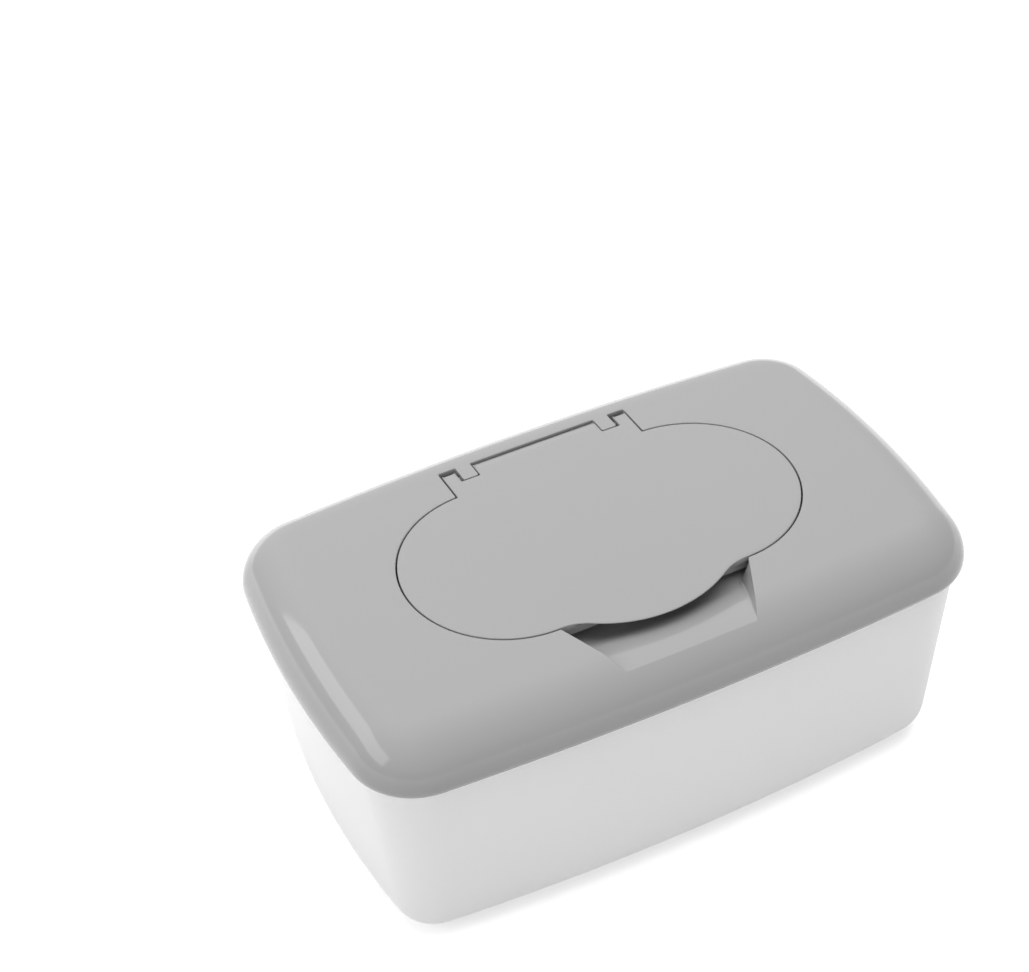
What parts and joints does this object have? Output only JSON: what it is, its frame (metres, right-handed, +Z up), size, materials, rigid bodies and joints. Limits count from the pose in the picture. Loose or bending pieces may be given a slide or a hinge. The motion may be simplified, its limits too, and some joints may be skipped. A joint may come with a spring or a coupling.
{
  "type": "wet wipes box",
  "caption": "Tapered see-through tub with a push-fit lid and a hinged flap that closes flush over a racetrack-shaped dispensing opening.",
  "frame": {"origin": "middle of the underside, on the plane it stands on", "axes": "+X along the box, +Y across it to the hinge side, +Z up; the thumb tab is on the -Y side"},
  "size_m": [0.21, 0.126, 0.092],
  "materials": {
    "tub_plastic": "see-through milky white, satin",
    "lid_plastic": "light grey, glossy",
    "flap_plastic": "light grey, glossy"
  },
  "bodies": {
    "tub": {"tub": "tub_plastic"},
    "lid": {"lid": "lid_plastic"},
    "flap": {"flap": "flap_plastic"}
  },
  "joints": [
    {"name": "lid_lift", "type": "slide", "parent": "tub", "child": "lid", "axis": [0, 0, 1], "range_m": [0, 0.06]},
    {"name": "flap_hinge", "type": "hinge", "parent": "lid", "child": "flap", "pos_m": [0, 0.043, 0.08783], "axis": [-1, 0, 0], "range_deg": [0, 94]}
  ]
}
